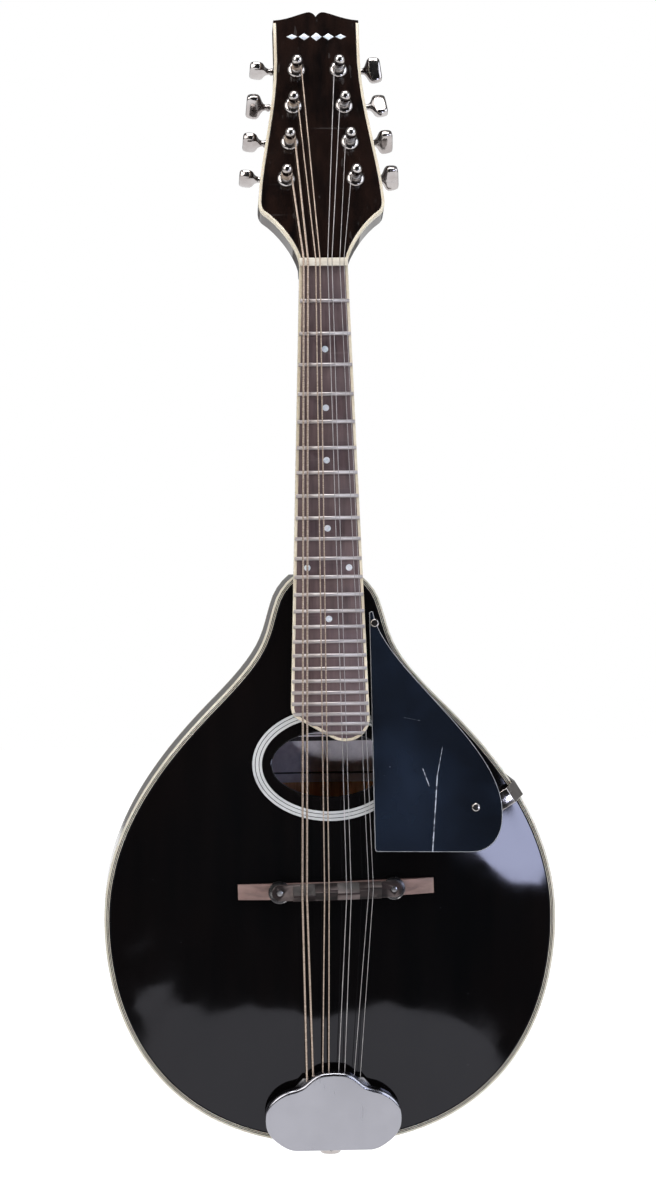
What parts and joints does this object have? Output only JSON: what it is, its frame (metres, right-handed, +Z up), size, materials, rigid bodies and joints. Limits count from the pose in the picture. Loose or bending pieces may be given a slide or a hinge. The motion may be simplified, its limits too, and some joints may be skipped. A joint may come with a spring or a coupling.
{
  "type": "mandolin",
  "caption": "Teardrop mandolin with a black arched top, oval sound hole, raised pickguard, geared tuners and a covered tailpiece.",
  "frame": {"origin": "on the fretboard's face at the nut, on the centre line, where a wall yoke holds the neck", "axes": "+Z up along the body towards the head, -Y out of the strings towards the player's listener, +X towards the treble strings"},
  "size_m": [0.255, 0.1061, 0.6549],
  "materials": {
    "black_gloss": "gloss black lacquer over spruce",
    "dark_back": "gloss dark brown lacquer over maple",
    "bare_spruce": "bare wood inside the body",
    "binding": "layered white and grey plastic",
    "cream_binding": "aged cream plastic",
    "rosette": "white and black plastic rings under lacquer",
    "paper": "pale lavender paper",
    "rosewood": "oiled rosewood",
    "fret_wire": "polished nickel silver",
    "pearl": "pearl",
    "nickel": "polished nickel plate, lightly worn",
    "steel": "plain steel",
    "cover_chrome": "polished chrome plate with fine scratches",
    "bronze_string": "bronze-wound and plain steel strings",
    "guard": "gloss blue-black plastic, scratched",
    "dark_saddle": "dark hardwood"
  },
  "bodies": {
    "instrument": {"top_plate": "black_gloss", "back_plate": "dark_back", "ribs": "dark_back", "neck_block": "bare_spruce", "tail_block": "bare_spruce", "lining_front": "bare_spruce", "lining_back": "bare_spruce", "tone_bars": "bare_spruce", "binding_front": "binding", "binding_back": "binding", "rosette": "rosette", "label": "paper", "neck": "dark_back", "heel_cap": "cream_binding", "truss_rod": "steel", "fretboard": "rosewood", "fretboard_binding": "cream_binding", "frets": "fret_wire", "position_markers": "pearl", "nut": "cream_binding", "head_veneer": "black_gloss", "head_binding": "cream_binding", "head_ornament": "pearl", "tuner_plate_bass": "nickel", "tuner_plate_treble": "nickel", "tuner_bushings": "nickel", "tuner_screws": "steel", "bridge_base": "rosewood", "bridge_studs": "steel", "tailpiece_base": "nickel", "tailpiece_screws": "steel", "end_pin": "nickel", "strings": "bronze_string", "pickguard": "guard", "pickguard_bracket": "nickel", "pickguard_pins": "nickel", "extension_support": "dark_back"},
    "tuner_post_1": {"post_1": "nickel"},
    "tuner_button_1": {"button_1": "nickel"},
    "tuner_post_2": {"post_2": "nickel"},
    "tuner_button_2": {"button_2": "nickel"},
    "tuner_post_3": {"post_3": "nickel"},
    "tuner_button_3": {"button_3": "nickel"},
    "tuner_post_4": {"post_4": "nickel"},
    "tuner_button_4": {"button_4": "nickel"},
    "tuner_post_5": {"post_5": "nickel"},
    "tuner_button_5": {"button_5": "nickel"},
    "tuner_post_6": {"post_6": "nickel"},
    "tuner_button_6": {"button_6": "nickel"},
    "tuner_post_7": {"post_7": "nickel"},
    "tuner_button_7": {"button_7": "nickel"},
    "tuner_post_8": {"post_8": "nickel"},
    "tuner_button_8": {"button_8": "nickel"},
    "saddle": {"bridge_saddle": "dark_saddle"},
    "wheel_bass": {"thumbwheel_bass": "nickel"},
    "wheel_treble": {"thumbwheel_treble": "nickel"},
    "cover": {"tailpiece_cover": "cover_chrome"}
  },
  "joints": [
    {"name": "post_1_turn", "type": "hinge", "parent": "instrument", "child": "tuner_post_1", "pos_m": [-0.01206, 0.04198, 0.11575], "axis": [0, -0.9367, 0.3502], "continuous": true},
    {"name": "button_1_turn", "type": "hinge", "parent": "instrument", "child": "tuner_button_1", "pos_m": [-0.01134, 0.06442, 0.11436], "axis": [-0.994, 0.0384, 0.1028], "continuous": true},
    {"name": "post_2_turn", "type": "hinge", "parent": "instrument", "child": "tuner_post_2", "pos_m": [-0.01459, 0.03397, 0.09433], "axis": [0, -0.9367, 0.3502], "continuous": true},
    {"name": "button_2_turn", "type": "hinge", "parent": "instrument", "child": "tuner_button_2", "pos_m": [-0.01386, 0.05641, 0.09295], "axis": [-0.994, 0.0384, 0.1028], "continuous": true},
    {"name": "post_3_turn", "type": "hinge", "parent": "instrument", "child": "tuner_post_3", "pos_m": [-0.01711, 0.02597, 0.07292], "axis": [0, -0.9367, 0.3502], "continuous": true},
    {"name": "button_3_turn", "type": "hinge", "parent": "instrument", "child": "tuner_button_3", "pos_m": [-0.01639, 0.0484, 0.07154], "axis": [-0.994, 0.0384, 0.1028], "continuous": true},
    {"name": "post_4_turn", "type": "hinge", "parent": "instrument", "child": "tuner_post_4", "pos_m": [-0.01964, 0.01796, 0.05151], "axis": [0, -0.9367, 0.3502], "continuous": true},
    {"name": "button_4_turn", "type": "hinge", "parent": "instrument", "child": "tuner_button_4", "pos_m": [-0.01891, 0.0404, 0.05012], "axis": [-0.994, 0.0384, 0.1028], "continuous": true},
    {"name": "post_5_turn", "type": "hinge", "parent": "instrument", "child": "tuner_post_5", "pos_m": [0.01206, 0.04198, 0.11575], "axis": [0, -0.9367, 0.3502], "continuous": true},
    {"name": "button_5_turn", "type": "hinge", "parent": "instrument", "child": "tuner_button_5", "pos_m": [0.01134, 0.06442, 0.11436], "axis": [0.994, 0.0384, 0.1028], "continuous": true},
    {"name": "post_6_turn", "type": "hinge", "parent": "instrument", "child": "tuner_post_6", "pos_m": [0.01459, 0.03397, 0.09433], "axis": [0, -0.9367, 0.3502], "continuous": true},
    {"name": "button_6_turn", "type": "hinge", "parent": "instrument", "child": "tuner_button_6", "pos_m": [0.01386, 0.05641, 0.09295], "axis": [0.994, 0.0384, 0.1028], "continuous": true},
    {"name": "post_7_turn", "type": "hinge", "parent": "instrument", "child": "tuner_post_7", "pos_m": [0.01711, 0.02597, 0.07292], "axis": [0, -0.9367, 0.3502], "continuous": true},
    {"name": "button_7_turn", "type": "hinge", "parent": "instrument", "child": "tuner_button_7", "pos_m": [0.01639, 0.0484, 0.07154], "axis": [0.994, 0.0384, 0.1028], "continuous": true},
    {"name": "post_8_turn", "type": "hinge", "parent": "instrument", "child": "tuner_post_8", "pos_m": [0.01964, 0.01796, 0.05151], "axis": [0, -0.9367, 0.3502], "continuous": true},
    {"name": "button_8_turn", "type": "hinge", "parent": "instrument", "child": "tuner_button_8", "pos_m": [0.01891, 0.0404, 0.05012], "axis": [0.994, 0.0384, 0.1028], "continuous": true},
    {"name": "saddle_height", "type": "slide", "parent": "instrument", "child": "saddle", "axis": [0, 1, 0], "range_m": [0, 0.0012]},
    {"name": "thumbwheel_bass_turn", "type": "hinge", "parent": "saddle", "child": "wheel_bass", "pos_m": [-0.02949, -0.0223, -0.35019], "axis": [0, -1, 0], "range_deg": [0, 617.2]},
    {"name": "thumbwheel_treble_turn", "type": "hinge", "parent": "saddle", "child": "wheel_treble", "pos_m": [0.03449, -0.0223, -0.34885], "axis": [0, -1, 0], "range_deg": [0, 617.1]},
    {"name": "cover_slide", "type": "slide", "parent": "instrument", "child": "cover", "axis": [0, 0.1908, -0.9816], "range_m": [0, 0.048]}
  ],
  "couplings": [
    {"joint": "post_1_turn", "follows": "button_1_turn", "ratio": -0.0625},
    {"joint": "post_2_turn", "follows": "button_2_turn", "ratio": -0.0625},
    {"joint": "post_3_turn", "follows": "button_3_turn", "ratio": -0.0625},
    {"joint": "post_4_turn", "follows": "button_4_turn", "ratio": -0.0625},
    {"joint": "post_5_turn", "follows": "button_5_turn", "ratio": 0.0625},
    {"joint": "post_6_turn", "follows": "button_6_turn", "ratio": 0.0625},
    {"joint": "post_7_turn", "follows": "button_7_turn", "ratio": 0.0625},
    {"joint": "post_8_turn", "follows": "button_8_turn", "ratio": 0.0625},
    {"joint": "thumbwheel_bass_turn", "follows": "saddle_height", "rad_per_m": 8976},
    {"joint": "thumbwheel_treble_turn", "follows": "saddle_height", "rad_per_m": 8976}
  ]
}
